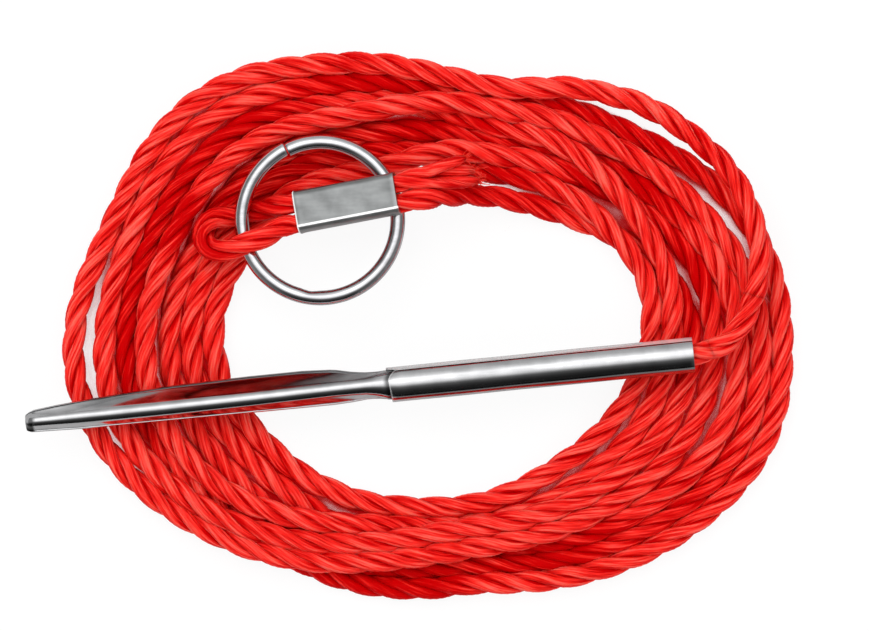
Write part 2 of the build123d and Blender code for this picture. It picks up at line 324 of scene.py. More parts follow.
def trenchShare():
    # 1 where a turn lies in a trench between higher turns on both its sides, 0 where it is open on one side;
    # the cord's colour gets painted shade there
    s = trenchSettings
    places = centres / mm
    share = np.zeros(len(places))
    for i, place in enumerate(places):
        apart = places - place
        near = (np.hypot(apart[:, 0], apart[:, 1]) < s["reach"]) & (apart[:, 2] > s["above"])
        if not near.any():
            continue
        side = apart[near] @ sideways[i]
        cover = apart[near, 2] * (1 - np.abs(side) / s["fade"])
        left = cover[side > -s["straightAbove"]].max(initial=0)
        right = cover[side < s["straightAbove"]].max(initial=0)
        share[i] = min(1, min(left, right) / s["fullDepth"])
    # the cut end lies loose on top
    share[:cutRow] = 0
    window = np.hanning(int(s["blur"] / cordSettings["step"]) * 2 + 1)
    return np.convolve(share, window / window.sum(), mode="same")


trench = trenchShare()
print("cord in a trench", round(float(trench.mean()), 3), "of its length")


def strandRings(strand):
    # ring points of one strand along the whole cord, in metres
    s = strandSettings
    jitter = slowNoise(along, s["layWave"], s["laySeed"]) * s["layJitter"]
    phase = 2 * pi * (along / s["layLength"] + strand / s["count"]) + jitter
    swell = 1 + s["swell"] * slowNoise(along, s["swellWave"], s["swellSeed"] + strand)
    section = np.radians(s["sectionAngles"])
    out = s["helixRadius"] * swell
    width = s["strandRadius"] * swell
    radial = out[:, None] + width[:, None] * np.cos(section)[None, :]
    side = width[:, None] * s["strandWiden"] * np.sin(section)[None, :]
    c, d = np.cos(phase)[:, None], np.sin(phase)[:, None]
    a = radial * c - side * d
    b = radial * d + side * c
    offset = (a[:, :, None] * sideways[:, None, :] + b[:, :, None] * upwards[:, None, :]) * mm
    axes = np.array(sleeveFrame.to_3x3())
    local = offset @ axes
    share = squeezed[:, None]
    local[:, :, 1] *= 1 + (s["squeezeAcross"] - 1) * share
    local[:, :, 2] *= 1 + (s["squeezeUp"] - 1) * share
    rings = centres[:, None, :] + local @ axes.T
    # towards the cut end each strand leaves the twist and runs on nearly straight to its own tip
    row = splayRow
    middles = rings[:row + 1].mean(axis=1)
    leave = middles[row]
    tip = np.array(s["splayEnds"][strand]) * mm
    way = rings[row].mean(axis=0) - rings[row + 2].mean(axis=0)
    bend = leave + way / np.linalg.norm(way) * np.linalg.norm(tip - leave) * s["splayLead"]
    for i in range(row + 1):
        u = 1 - i / row
        onLine = leave * (1 - u) ** 2 + bend * 2 * u * (1 - u) + tip * u ** 2
        taper = 1 - s["tipTaper"] * max(0, u - s["tipFrom"]) / s["tipRun"]
        rings[i] = onLine + (rings[i] - middles[i]) * taper
    rings[:, :, 2] = np.maximum(rings[:, :, 2], 0)
    return rings


allRings = [strandRings(k) for k in range(strandSettings["count"])]


def cordPiece(name, first, last):
    # the three strands between two stations of the cord, each closed at both ends
    sides = len(strandSettings["sectionAngles"])
    vertices, faces, around, length, which, low = [], [], [], [], [], []
    edge = np.radians(np.array(strandSettings["sectionAngles"])) * strandSettings["strandRadius"]
    start = 0
    for strand, rings in enumerate(allRings):
        part = rings[first:last + 1]
        rows = len(part)
        vertices.append(part.reshape(-1, 3))
        i, j = np.meshgrid(np.arange(rows - 1), np.arange(sides), indexing="ij")
        k = (j + 1) % sides
        quads = np.stack([i * sides + j, i * sides + k, (i + 1) * sides + k, (i + 1) * sides + j], axis=-1)
        faces += (quads.reshape(-1, 4) + start).tolist()
        faces.append([start + n for n in reversed(range(sides))])
        faces.append([start + (rows - 1) * sides + n for n in range(sides)])
        around.append(np.tile(edge, rows))
        length.append(np.repeat(along[first:last + 1], sides))
        which.append(np.full(rows * sides, float(strand)))
        low.append(np.repeat(trench[first:last + 1], sides))
        start += rows * sides
    mesh = bpy.data.meshes.new(name)
    mesh.from_pydata(np.concatenate(vertices).tolist(), [], faces)
    piece = bpy.data.objects.new(name, mesh)
    bpy.context.scene.collection.objects.link(piece)
    around, length, which, low = (np.concatenate(v) for v in (around, length, which, low))
    layer = mesh.uv_layers.new(name="alongStrand")
    corner = np.zeros(len(mesh.loops), np.int32)
    mesh.loops.foreach_get("vertex_index", corner)
    uv = np.stack([around[corner], length[corner]], axis=1)
    layer.data.foreach_set("uv", uv.astype(np.float32).ravel())
    for kind, values in (("strand", which), ("trench", low)):
        mesh.attributes.new(kind, "FLOAT", "POINT").data.foreach_set("value", values.astype(np.float32))
    mesh.polygons.foreach_set("use_smooth", [len(face) == 4 for face in faces])
    mesh.update()
    return piece


bendAt = along[-1] - cordSettings["inNeedle"] - cordSettings["bendOffset"]
bendRow = int(round(bendAt / cordSettings["step"]))
leadRow = int(round((bendAt - strandSettings["bendRun"]) / cordSettings["step"]))
cutEnd = cordPiece("cordCutEnd", 0, cutRow)
mainCord = cordPiece("cord", cutRow, leadRow)
leadCord = cordPiece("cordLead", leadRow, bendRow)
endCord = cordPiece("cordEnd", bendRow, len(centres) - 1)


fraySettings = {
    "perStrand": 14, "length": (0.8, 2.3), "rootLength": 0.9, "thickness": 0.10, "bends": 4, "spread": 0.42,
    "lean": 0.25, "wander": 0.35, "lowest": 0.001, "seed": 5,
}


def makeFray():
    # loose filaments that stand out of the three cut strands
    s = fraySettings
    random = np.random.default_rng(s["seed"])
    curve = bpy.data.curves.new("fray", "CURVE")
    curve.dimensions = "3D"
    curve.bevel_depth = s["thickness"] / 2 * mm
    curve.bevel_resolution = 1
    curve.use_fill_caps = True
    for rings in allRings:
        tip, before = rings[1].mean(axis=0), rings[4].mean(axis=0)
        outward = (tip - before) / np.linalg.norm(tip - before)
        for _ in range(s["perStrand"]):
            place = tip + random.uniform(-1, 1, 3) * s["spread"] * mm
            way = outward + random.uniform(-1, 1, 3) * s["lean"]
            length = (random.uniform(*s["length"]) + s["rootLength"]) * mm
            spline = curve.splines.new("POLY")
            spline.points.add(s["bends"])
            for point in spline.points:
                point.co = (place[0], place[1], max(place[2], s["lowest"]), 1)
                place = place + way / np.linalg.norm(way) * length / s["bends"]
                way = way + random.uniform(-1, 1, 3) * s["wander"]
    fray = bpy.data.objects.new("fray", curve)
    bpy.context.scene.collection.objects.link(fray)
    pick(fray)
    bpy.ops.object.convert(target="MESH")
    bpy.ops.object.shade_smooth()
    return bpy.context.object


fray = makeFray()
pick(cutEnd)
fray.select_set(True)
bpy.ops.object.join()
print("cord length", round(along[-1], 1), "mm, highest", round(centres[:, 2].max() / mm, 2),
      "triangles", 2 * sum(len(p.data.polygons) for p in (mainCord, leadCord, endCord)))


class Value:
    # a number socket that can stand in a Python expression
    def __init__(self, tree, socket):
        self.tree = tree
        self.socket = socket

    def maths(self, operation, first, second):
        return addNode(self.tree, "ShaderNodeMath", {"operation": operation}, {0: first, 1: second}, 0)

    def __add__(self, other):
        return self.maths("ADD", self, other)

    def __radd__(self, other):
        return self.maths("ADD", other, self)

    def __sub__(self, other):
        return self.maths("SUBTRACT", self, other)

    def __rsub__(self, other):
        return self.maths("SUBTRACT", other, self)

    def __mul__(self, other):
        return self.maths("MULTIPLY", self, other)

    def __rmul__(self, other):
        return self.maths("MULTIPLY", other, self)

    def __truediv__(self, other):
        return self.maths("DIVIDE", self, other)

    def __rtruediv__(self, other):
        return self.maths("DIVIDE", other, self)

    def output(self, which):
        # another output of the same node
        return Value(self.tree, self.socket.node.outputs[which])


def addNode(tree, kind, settings, values, output=0):
    # makes a node, sets it, then fills its sockets with numbers, colours or links
    node = tree.nodes.new(kind)
    for name, setting in settings.items():
        if name == "stops":
            ramp = node.color_ramp
            while len(ramp.elements) < len(setting):
                ramp.elements.new(0.5)
            for element, (place, colour) in zip(ramp.elements, setting):
                element.position = place
                element.color = (*colour, 1)
        else:
            setattr(node, name, setting)
    for name, value in values.items():
        socket = node.inputs[name]
        if isinstance(value, Value):
            tree.links.new(value.socket, socket)
        else:
            socket.default_value = value
    return None if output is None else Value(tree, node.outputs[output])


def newMaterial(name):
    material = bpy.data.materials.new(name)
    material.use_nodes = True
    material.node_tree.nodes.clear()
    return material, material.node_tree


def finish(shader, output="ShaderNodeOutputMaterial"):
    addNode(shader.tree, output, {}, {"Surface": shader}, None)


cordLook = {
    # painted shade deep between the strands, then the cord's own red, then pale painted highlights where the
    # filament lines rise
    "stops": [(0.36, (0.52, 0.000, 0.001)), (0.49, (0.87, 0.024, 0.018)), (0.61, (0.95, 0.120, 0.090))],
    "lineEvery": 0.26, "lineLength": 4.0, "slant": 0.22, "lineDepth": 0.26, "lineDetail": 1.5,
    "lineSizes": ((1.0, 0.45), (2.3, 0.55)), "strandShift": 13.0,
    "roughness": 0.42, "roughnessSwing": 0.3, "shine": 0.10, "shineTint": (1.0, 0.3, 0.25, 1),
    "glowThrough": 0.6, "glowReach": 1.6,
    "valleyFrom": 0.95, "valleyTo": 1.75, "valleyShare": 0.75, "valleyShade": 0.16, "trenchShade": 0.16,
}


def cordMaterial():
    s = cordLook
    material, tree = newMaterial("twistedCord")
    uv = addNode(tree, "ShaderNodeUVMap", {"uv_map": "alongStrand"}, {})
    strand = addNode(tree, "ShaderNodeAttribute", {"attribute_name": "strand"}, {}, 2)
    low = addNode(tree, "ShaderNodeAttribute", {"attribute_name": "trench"}, {}, 2)
    parts = addNode(tree, "ShaderNodeSeparateXYZ", {}, {0: uv})
    lengthwise = parts.output(1)
    # filaments run along a strand, slightly aslant
    aslant = parts + lengthwise * s["slant"] + strand * s["strandShift"]
    lines = 0
    for size, share in s["lineSizes"]:
        across = aslant / (s["lineEvery"] * size)
        lengthways = lengthwise / (s["lineLength"] * size)
        place = addNode(tree, "ShaderNodeCombineXYZ", {}, {0: across, 1: lengthways})
        noise = addNode(tree, "ShaderNodeTexNoise", {}, {
            "Vector": place, "Scale": 1.0, "Detail": s["lineDetail"]})
        lines = noise * share + lines
    # painted shade: each strand is darker along its edges, deep between its neighbours
    edge = addNode(tree, "ShaderNodeMath", {"operation": "ABSOLUTE"}, {0: parts})
    valley = addNode(tree, "ShaderNodeMapRange", {"interpolation_type": "SMOOTHSTEP"}, {
        "Value": edge, "From Min": s["valleyFrom"], "From Max": s["valleyTo"], "To Max": s["valleyShare"]})
    # and painted shade also darkens a whole turn in a trench between higher ones
    shade = lines - valley * s["valleyShade"] - low * s["trenchShade"]
    colour = addNode(tree, "ShaderNodeValToRGB", {"stops": s["stops"]}, {"Fac": shade})
    bump = addNode(tree, "ShaderNodeBump", {}, {
        "Strength": 1.0, "Distance": s["lineDepth"] * mm, "Height": lines})
    roughness = s["roughness"] + s["roughnessSwing"] * (lines - 0.5)
    shader = addNode(tree, "ShaderNodeBsdfPrincipled", {}, {
        "Base Color": colour, "Roughness": roughness, "Normal": bump, "Specular IOR Level": s["shine"],
        "Specular Tint": s["shineTint"],
        "Subsurface Weight": s["glowThrough"], "Subsurface Scale": s["glowReach"] * mm})
    finish(shader)
    return material


redCord = cordMaterial()
for piece in (cutEnd, mainCord, leadCord, endCord):
    piece.data.materials.append(redCord)


def editing(piece):
    pick(piece)
    bpy.ops.object.mode_set(mode="EDIT")


def mark(piece, kind, test):
    # in edit mode: selects the faces or edges that pass a test of their middle, and counts them
    bpy.ops.mesh.select_mode(type=kind)
    bpy.ops.mesh.select_all(action="DESELECT")
    bpy.ops.object.mode_set(mode="OBJECT")
    mesh = piece.data
    found = 0
    for item in {"EDGE": mesh.edges, "FACE": mesh.polygons}[kind]:
        if kind == "FACE":
            item.select = bool(test(item.center / mm, item.normal))
        else:
            first, second = (mesh.vertices[i].co / mm for i in item.vertices)
            item.select = bool(test((first + second) / 2, second - first))
        found += item.select
    bpy.ops.object.mode_set(mode="EDIT")
    return found


def cutThrough(place, normal):
    # in edit mode: a new loop of edges where a plane meets the mesh, with the place in millimetres
    bpy.ops.mesh.select_all(action="SELECT")
    bpy.ops.mesh.bisect(plane_co=[c * mm for c in place], plane_no=normal)


def addModifier(piece, kind, **settings):
    pick(piece)
    modifier = piece.modifiers.new(kind.lower(), kind)
    for name, setting in settings.items():
        setattr(modifier, name, setting)
    bpy.ops.object.modifier_apply(modifier=modifier.name)


def facesOutward(piece):
    editing(piece)
    bpy.ops.mesh.select_all(action="SELECT")
    bpy.ops.mesh.normals_make_consistent(inside=False)
    bpy.ops.object.mode_set(mode="OBJECT")


def settle(piece, place, smoothAngle):
    # turns a piece that was made along its own axes into its place and leaves its object at the origin
    pick(piece)
    toMetres = Matrix.Diagonal((mm, mm, mm, 1))
    piece.matrix_world = toMetres @ place @ Matrix.Diagonal((1 / mm, 1 / mm, 1 / mm, 1))
    bpy.ops.object.transform_apply(location=True, rotation=True, scale=True)
    facesOutward(piece)
    bpy.ops.object.shade_smooth_by_angle(angle=radians(smoothAngle))


ringSettings = {
    "centre": (-13.2, 16.0, 7.55), "meanRadius": 11.6, "wire": 2.2, "gap": 0.16, "gapAngle": 114.6,
    "sides": 28, "steps": 168, "facing": 0.9, "endReach": 0.3, "endBevel": 0.16, "bevelSegments": 2,
    "step": 0.14, "stepRun": 35.0,
    "nickAngle": 262.0, "nickRun": 1.6, "nickDepth": 0.16, "smoothAngle": 50,
}


def makeRing():
    s = ringSettings
    clearSelection()
    bpy.ops.mesh.primitive_circle_add(vertices=s["sides"], radius=s["wire"] / 2 * mm,
                                      location=(s["meanRadius"] * mm, 0, 0), rotation=(pi / 2, 0, 0))
    ring = bpy.context.object
    ring.name = "ringWire"
    bpy.ops.object.transform_apply(location=True, rotation=True)
    editing(ring)
    bpy.ops.mesh.select_all(action="SELECT")
    gapTurn = s["gap"] / s["meanRadius"]
    bpy.ops.mesh.spin(steps=s["steps"], angle=2 * pi - gapTurn, center=(0, 0, 0), axis=(0, 0, 1))
    bpy.ops.mesh.select_all(action="DESELECT")
    bpy.ops.mesh.select_mode(type="EDGE")
    bpy.ops.mesh.select_non_manifold()
    bpy.ops.mesh.fill_holes(sides=0)
    # the sawn ends are slightly rounded
    ends = mark(ring, "FACE", lambda middle, normal: (
        abs(middle.y) < s["endReach"] and middle.x > 0 and abs(normal.y) > s["facing"]))
    bpy.ops.mesh.region_to_loop()
    bpy.ops.mesh.bevel(offset=s["endBevel"] * mm, segments=s["bevelSegments"])
    bpy.ops.object.mode_set(mode="OBJECT")
    for vertex in ring.data.vertices:
        # one end sits a little outside the other; a tool has nicked the inner side
        angle = np.degrees(np.arctan2(vertex.co.y, vertex.co.x))
        beside = max(0, 1 - abs(angle) / s["stepRun"]) ** 2
        out = Vector((vertex.co.x, vertex.co.y, 0)).normalized()
        vertex.co += out * (s["step"] * mm * beside * (1 if angle > 0 else -1))
        fromNick = (angle + s["gapAngle"] - s["nickAngle"] + 180) % 360 - 180
        nick = max(0, 1 - abs(radians(fromNick) * s["meanRadius"]) / s["nickRun"])
        inner = max(0, s["meanRadius"] - Vector((vertex.co.x, vertex.co.y, 0)).length / mm)
        vertex.co += out * (s["nickDepth"] * mm * nick * inner)
    place = Matrix.Translation(s["centre"]) @ Matrix.Rotation(radians(s["gapAngle"]) + gapTurn / 2, 4, "Z")
    settle(ring, place, s["smoothAngle"])
    print("ring:", len(ring.data.polygons), "faces,", ends, "ends")
    return ring


sleeveSettings = {
    "length": 15.5, "width": 6.2, "height": 3.4, "wall": 0.5, "corner": 1.05, "cornerSegments": 5,
    "seam": 0.3, "facing": 0.9, "cuts": 22, "lengthCuts": (-0.3, -0.15, 0.15, 0.3),
    "edgeBevel": 0.07, "bevelSegments": 2, "bevelAngle": 50, "smoothAngle": 40,
    # the hollow is a sum of waves: each one's share, its turn per millimetre along and across, and its start
    "dent": 0.05, "hollow": 0.5, "waves": ((0.5, 0.55, 0.0, 0.4), (0.35, 1.3, 0.9, 0.0)),
    "mouthFlare": 0.10, "flareUp": 0.6, "flareFrom": 0.86, "flareRun": 0.14,
}


def makeSleeve():
    s = sleeveSettings
    clearSelection()
    bpy.ops.mesh.primitive_cube_add(size=mm)
    sleeve = bpy.context.object
    sleeve.name = "crimpedSleeve"
    middleWidth, middleHeight = s["width"] - s["wall"], s["height"] - s["wall"]
    sleeve.scale = (s["length"], middleWidth, middleHeight)
    bpy.ops.object.transform_apply(scale=True)
    editing(sleeve)
    mark(sleeve, "FACE", lambda middle, normal: abs(normal.x) > s["facing"])
    bpy.ops.mesh.delete(type="FACE")
    mark(sleeve, "EDGE", lambda middle, run: abs(run.x) > 1)
    bpy.ops.mesh.bevel(offset=(s["corner"] - s["wall"] / 2) * mm, segments=s["cornerSegments"])
    # the strip's two edges meet in a seam along the underside
    for side in (-0.5, 0.5):
        cutThrough((0, side * s["seam"], 0), (0, 1, 0))
    mark(sleeve, "FACE", lambda middle, normal: normal.z < -s["facing"] and abs(middle.y) < s["seam"] / 2)
    bpy.ops.mesh.delete(type="FACE")
    for k in range(1, s["cuts"]):
        cutThrough(((k / s["cuts"] - 0.5) * s["length"], 0, 0), (1, 0, 0))
    for side in s["lengthCuts"]:
        cutThrough((0, side * s["width"], 0), (0, 1, 0))
    bpy.ops.object.mode_set(mode="OBJECT")
    for vertex in sleeve.data.vertices:
        # the crimping tool has left the broad faces a little hollow and uneven, and the mouths a little open
        x, y, z = vertex.co / mm
        hollow = sum(share * np.sin(x * a + y * b + c) for share, a, b, c in s["waves"]) + s["hollow"]
        inside = max(0, 1 - (2 * abs(y) / s["width"]) ** 2)
        flare = max(0, abs(x) * 2 / s["length"] - s["flareFrom"]) / s["flareRun"]
        vertex.co.z -= np.sign(z) * s["dent"] * hollow * inside * mm
        vertex.co.y += np.sign(y) * s["mouthFlare"] * flare ** 2 * mm * (abs(y) > 1)
        vertex.co.z += np.sign(z) * s["mouthFlare"] * s["flareUp"] * flare ** 2 * mm
    addModifier(sleeve, "SOLIDIFY", thickness=s["wall"] * mm, offset=0)
    addModifier(sleeve, "BEVEL", width=s["edgeBevel"] * mm, segments=s["bevelSegments"], limit_method="ANGLE",
                angle_limit=radians(s["bevelAngle"]))
    settle(sleeve, sleevePlace(), s["smoothAngle"])
    print("sleeve:", len(sleeve.data.polygons), "faces")
    return sleeve


# rolled from sheet: a channel with flared lips in front, a tube with its seam on the far side behind
needleSettings = {
    "sheet": 0.42, "tubeLength": 45.4, "tubeCuts": 30, "radius": 2.65, "seamAngle": 52.0, "underFlap": 34.0,
    "fadeRun": 60.0, "step": 0.26, "frontSlant": 0.6, "turnStep": 8.0,
    "mouthBevel": 0.06, "bevelSegments": 2, "bevelAngle": 60, "smoothAngle": 40,
    "cornerCut": 1.3, "cutRun": 3, "cornerFrom": 0.4, "cornerWidth": 1.7, "flapEdge": 2.12,
    # how uneven the rolling was: share, turn per millimetre and start of each wave
    "heightWaves": ((0.008, 0.45, 0), (0.005, 1.1, 1)), "widthWave": (0.006, 0.37, 2),
    # distance from the mouth, then across: near edge, ridge, far edge; then the ridge's radius, and the
    # heights of the near edge, the ridge and the far edge
    "stations": [
        (-99.6, -1.50, -0.20, 0.90, 0.50, -0.60, 0.10, -0.55),
        (-99.2, -1.65, -0.15, 1.20, 0.70, -0.30, 1.20, -0.10),
        (-98.4, -1.70, -0.15, 1.45, 0.80, 0.00, 1.55, 0.45),
        (-95.0, -1.80, -0.15, 1.85, 0.90, 0.15, 1.75, 0.60),
        (-92.0, -1.90, -0.15, 2.10, 1.00, 0.10, 1.92, 0.45),
        (-86.0, -1.95, -0.15, 2.55, 1.05, -0.05, 2.06, -0.30),
        (-78.0, -2.00, -0.12, 3.00, 1.10, -0.15, 2.12, -1.05),
        (-66.0, -2.05, -0.02, 3.25, 1.10, -0.20, 2.15, -1.25),
        (-58.0, -2.10, 0.10, 3.25, 1.10, -0.25, 2.15, -1.15),
        (-53.5, -2.10, 0.18, 3.00, 1.10, -0.35, 2.12, -0.90),
        (-50.6, -1.95, 0.18, 2.35, 1.15, -0.45, 2.08, -0.60),
        (-48.6, -1.75, 0.18, 2.10, 1.25, -0.50, 2.02, -0.55),
        (-47.0, -1.85, 0.12, 2.05, 1.60, -0.70, 2.08, -0.75),
        (-45.6, -2.10, 0.00, 2.15, 2.00, -1.00, 2.18, -1.00),
        (-43.5, -2.15, 0.00, 2.18, 2.10, -1.00, 2.20, -1.00)],
    "edgeRun": 0.24, "edgeLift": 0.10, "sideHollow": 0.12,
    "acrossCount": 40, "rowStep": 0.8, "rowPower": 1.35,
}


def tubeRadius(angle):
    # the sheet's middle at an angle past the hidden edge, which lies under the flap
    s = needleSettings
    full = s["radius"] - s["sheet"] / 2
    rise = np.clip((angle - s["underFlap"]) / s["fadeRun"], 0, 1)
    return full - s["step"] * (1 - rise * rise * (3 - 2 * rise))


def makeNeedleTube():
    s = needleSettings
    hiddenEdge = s["seamAngle"] - s["underFlap"]
    angles = np.arange(0, 360 + s["underFlap"] + 0.1, s["turnStep"])        # the last one included

    def place(angle):
        turn = radians(hiddenEdge + angle)
        return Vector((0, np.sin(turn), np.cos(turn))) * float(tubeRadius(angle)) * mm

    clearSelection()
    bpy.ops.mesh.primitive_plane_add(size=s["tubeLength"] * mm, location=(-s["tubeLength"] / 2 * mm, 0, 0))
    tube = bpy.context.object
    tube.name = "needleBody"
    bpy.ops.object.transform_apply(location=True)
    first, second = place(angles[0]), place(angles[1])
    for vertex in tube.data.vertices:
        corner = first if vertex.co.y < 0 else second
        vertex.co.y, vertex.co.z = corner.y, corner.z
    editing(tube)
    mark(tube, "EDGE", lambda middle, run: (
        abs(run.x) > 1 and (middle * mm - Vector((middle.x * mm, *second[1:]))).length < 1e-5))
    for before, after in zip(angles[1:-1], angles[2:]):
        move = place(after) - place(before)
        bpy.ops.mesh.extrude_edges_move(TRANSFORM_OT_translate={"value": tuple(move)})
    for k in range(1, s["tubeCuts"]):
        cutThrough((-k / s["tubeCuts"] * s["tubeLength"], 0, 0), (1, 0, 0))
    bpy.ops.object.mode_set(mode="OBJECT")
    share, turn, start = s["widthWave"]
    for vertex in tube.data.vertices:
        # the front edge is cut slightly aslant
        if vertex.co.x / mm < -s["tubeLength"] + 0.1:
            vertex.co.x -= s["frontSlant"] / 2 * vertex.co.y / s["radius"]
        # the flap's front corner is rounded off
        fromFront = max(0, 1 - (vertex.co.x / mm + s["tubeLength"]) / s["cutRun"])
        onFlap = vertex.co.z > 0 and vertex.co.y / mm < s["flapEdge"]
        corner = min(1, max(0, vertex.co.y / mm - s["cornerFrom"]) / s["cornerWidth"]) * onFlap
        vertex.co.x += s["cornerCut"] * fromFront * corner ** 2 * mm
        # the rolling was not quite even
        x = vertex.co.x / mm
        vertex.co.z *= 1 + sum(a * np.sin(x * b + c) for a, b, c in s["heightWaves"])
        vertex.co.y *= 1 + share * np.sin(x * turn + start)
    return tube


def fromRidge(radius, run, drop):
    # one side of the ridge, as (outward, down) points: an arc, then a straight side down to the edge
    s = needleSettings
    tilt = pi / 4
    # the tilt at which the arc runs straight into the side, closer with each round
    for _ in range(30):
        over, down = radius * np.sin(tilt), radius * (1 - np.cos(tilt))
        tilt = np.arctan2(max(drop - down, 0.01), max(run - over, 0.05))
    share = np.linspace(0, 1, s["acrossCount"] // 4 + 1)[:, None]
    turn = share * tilt
    arc = np.hstack([radius * np.sin(turn), radius * (1 - np.cos(turn))])
    # the straight side is a little hollow, and its outermost strip is bent up
    end = np.array([run - s["edgeRun"], drop + s["edgeLift"]])
    side = arc[-1] + (end - arc[-1]) * share[1:]
    side[:, 1] += s["sideHollow"] * np.sin(pi * share[1:, 0])
    edge = end + (np.array([run, drop]) - end) * np.array([[0.5], [1.0]])
    return np.vstack([arc, side, edge])


def channelRow(x):
    # the sheet's middle line across the channel, from the near edge to the far edge
    stations = np.array(needleSettings["stations"])
    near, ridge, far, radius, nearLow, top, farLow = (np.interp(x, stations[:, 0], stations[:, k])
                                                      for k in range(1, 8))
    top -= needleSettings["sheet"] / 2
    nearSide = fromRidge(radius, ridge - near, top - nearLow)
    farSide = fromRidge(radius, far - ridge, top - farLow)
    nearPart = np.stack([ridge - nearSide[:, 0], top - nearSide[:, 1]], axis=1)[::-1]
    farPart = np.stack([ridge + farSide[:, 0], top - farSide[:, 1]], axis=1)[1:]
    return np.vstack([nearPart, farPart])


def makeNeedleChannel():
    s = needleSettings
    ends = s["stations"][0][0], s["stations"][-1][0]
    rows = int((ends[1] - ends[0]) / s["rowStep"])
    clearSelection()
    ways = len(channelRow(ends[0]))
    bpy.ops.mesh.primitive_grid_add(x_subdivisions=ways - 1, y_subdivisions=rows, size=mm)
    channel = bpy.context.object
    channel.name = "needleChannel"
    for row in range(rows + 1):
        share = row / rows
        x = ends[0] + (ends[1] - ends[0]) * share ** s["rowPower"]
        for column, (across, up) in enumerate(channelRow(x)):
            channel.data.vertices[row * ways + column].co = Vector((x, across, up)) * mm
    return channel


def makeNeedle():
    s = needleSettings
    tube = makeNeedleTube()
    channel = makeNeedleChannel()
    for part in (tube, channel):
        facesOutward(part)
        addModifier(part, "SOLIDIFY", thickness=s["sheet"] * mm, offset=0)
        addModifier(part, "BEVEL", width=s["mouthBevel"] * mm, segments=s["bevelSegments"],
                    limit_method="ANGLE", angle_limit=radians(s["bevelAngle"]))
    pick(tube)
    channel.select_set(True)
    bpy.ops.object.join()
    tube.name = "needleBody"
    settle(tube, needlePlace(), s["smoothAngle"])
    print("needle:", len(tube.data.polygons), "faces")
    return tube


ringWire = makeRing()
crimpedSleeve = makeSleeve()
needleBody = makeNeedle()


metalLook = {
    "ring": {"colour": (0.66, 0.66, 0.68), "roughness": 0.13, "scratches": (40, 900), "depth": 0.02,
             "cloudy": 0.75},
    "sleeve": {"colour": (0.34, 0.35, 0.35), "roughness": 0.34, "scratches": (60, 700), "depth": 0.03,
               "cloudy": 0.60},
    "needle": {"colour": (0.57, 0.57, 0.58), "roughness": 0.11, "scratches": (25, 900), "depth": 0.005,
               "cloudy": 0.74},
}
grainSettings = {
    "cloudScale": 350.0, "detail": 3.0, "dullAt": 0.36, "fullAt": 0.60, "bump": 0.6,
    "evenRoughness": 0.55, "scratchRoughness": 0.5, "cloudRoughness": 0.4,
    # the pale colour of the painted highlights, and the dark of the needle's seam and its painted shade
    "paintedHighlight": (0.95, 0.95, 0.95, 1), "seamAndPaintedShade": (0.02, 0.02, 0.02, 1),
}


def step(value, start, end):
    # 0 before the start and 1 past the end, smooth between; the start may lie past the end
    return addNode(value.tree, "ShaderNodeMapRange", {"interpolation_type": "SMOOTHSTEP"}, {
        "Value": value, "From Min": start, "From Max": end})


def band(value, *bounds):
    # rises between the first two bounds and falls again between the last two
    return step(value, *bounds[:2]) * step(value, *bounds[2:])


def larger(first, second):
    return first.maths("MAXIMUM", first, second)


def ownPlaces(tree, place, turned):
    # the three coordinates of a point along a turned piece's own axes, in millimetres
    local = addNode(tree, "ShaderNodeMapping", {"vector_type": "TEXTURE"}, {
        "Vector": place, "Location": [c * mm for c in turned.translation], "Rotation": turned.to_euler()})
    parts = addNode(tree, "ShaderNodeSeparateXYZ", {}, {0: local})
    return [parts.output(k) / mm for k in range(3)]


# where the painted highlights lie, in millimetres in the sleeve's own axes, and how strong they are
sleevePaintedHighlightSettings = {
    "fold": (-2.46, -2.34, -1.98, -2.12), "mouth": (-7.45, -7.60), "mouthShare": 0.8,
    "lower": (-2.3, -2.6), "lowerShare": 0.16, "upper": (0.4, 0.7),
}


def sleevePaintedHighlights(tree, place):
    # painted highlights on the near upper fold and the left mouth's edge, and a fainter painted light along the
    # near side below the fold
    s = sleevePaintedHighlightSettings
    x, y, z = ownPlaces(tree, place, sleevePlace())
    fold = band(y, *s["fold"])
    mouth = step(x, *s["mouth"]) * s["mouthShare"]
    lower = step(y, *s["lower"]) * s["lowerShare"]
    return 0.0, larger(fold, mouth) * step(z, *s["upper"]) + lower


# where the needle's dark seam, painted shade and painted highlights lie, in millimetres in the needle's own
# axes and in degrees around the tube from its top towards the far side, and how strong they are
needleSeamAndPaintedLightSettings = {
    "seam": (46, 48, 60, 58), "under": (-60, -54, -36, -42), "paintedSheen": (58, 60, 100, 85),
    "seamEnd": (-0.4, 0.4), "paintedSheenEnd": (0.0, 0.4), "underEnd": (0.0, 1.0),
    "front": (-1.0, -0.2, 0.0, -0.02), "frontSide": (2.3, 2.1),
    "flap": (0.4, 2.1), "flapEdge": (2.25, 2.15), "tip": (-98.3, -98.8), "tipSide": (-0.1, -0.5),
    "farSide": (0.5, 1.2), "farStart": (-92, -88), "farEnd": (-1.5, -3.0), "rim": (0.0, 0.04, 0.24, 0.16),
    "frontShare": 0.8, "underShare": 0.6, "farShare": 0.35, "rimShare": 0.3, "paintedSheenShare": 0.5,
}


